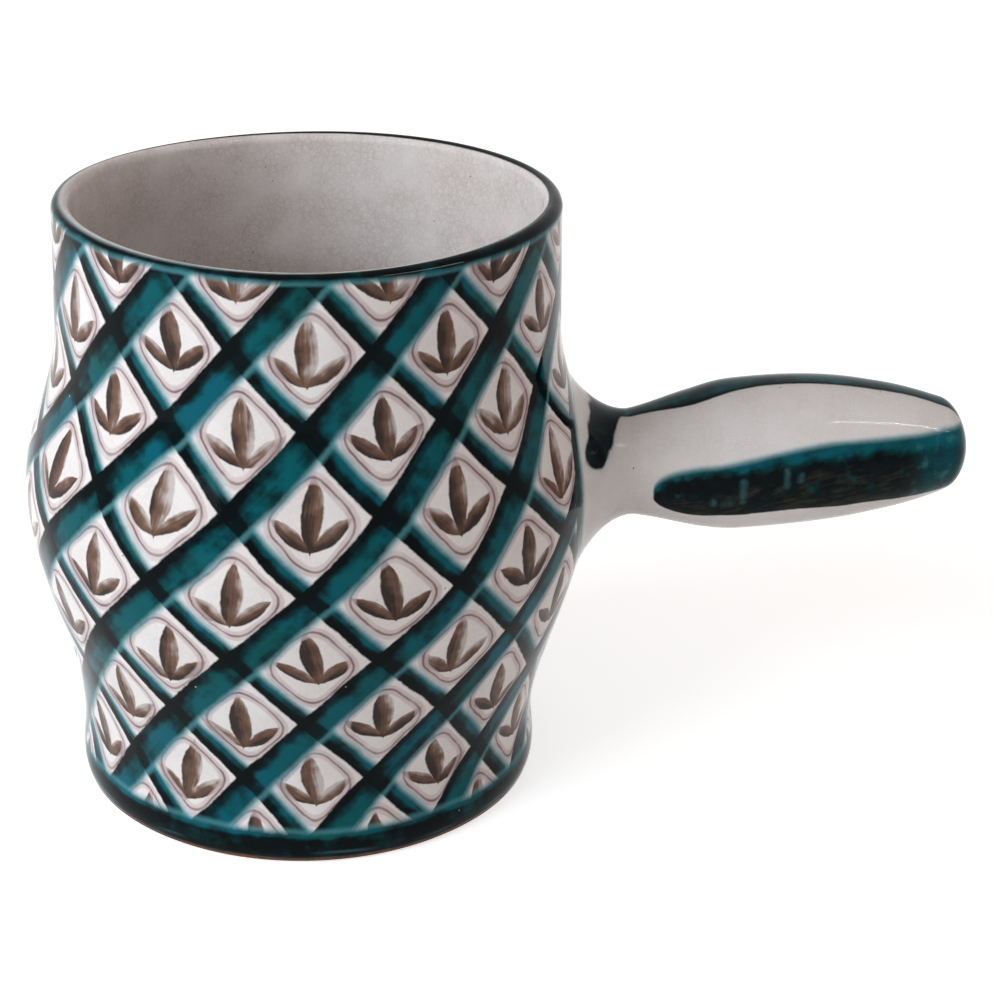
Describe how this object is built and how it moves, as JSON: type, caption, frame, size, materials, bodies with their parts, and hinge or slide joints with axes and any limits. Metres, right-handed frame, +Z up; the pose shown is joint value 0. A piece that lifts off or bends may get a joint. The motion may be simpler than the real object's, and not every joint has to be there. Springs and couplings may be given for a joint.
{
  "type": "handled pot",
  "caption": "Round-bellied glazed earthenware pot with an open mouth, a flat foot and a hollow handle that stands straight out from its side.",
  "frame": {"origin": "middle of the flat base, on the pot's own axis", "axes": "+Z up along the pot's axis, +X from the axis towards the end of the handle"},
  "size_m": [0.2354, 0.1382, 0.149],
  "materials": {
    "white_glaze": "glossy crackled tin-white glaze with painted teal, brown and mauve brushwork",
    "handle_glaze": "glossy crackled white glaze with broad teal brushwork",
    "teal_glaze": "glossy dark teal glaze"
  },
  "bodies": {
    "root": {"pot_body": "white_glaze", "handle": "handle_glaze", "luting_collar": "teal_glaze"}
  },
  "joints": []
}
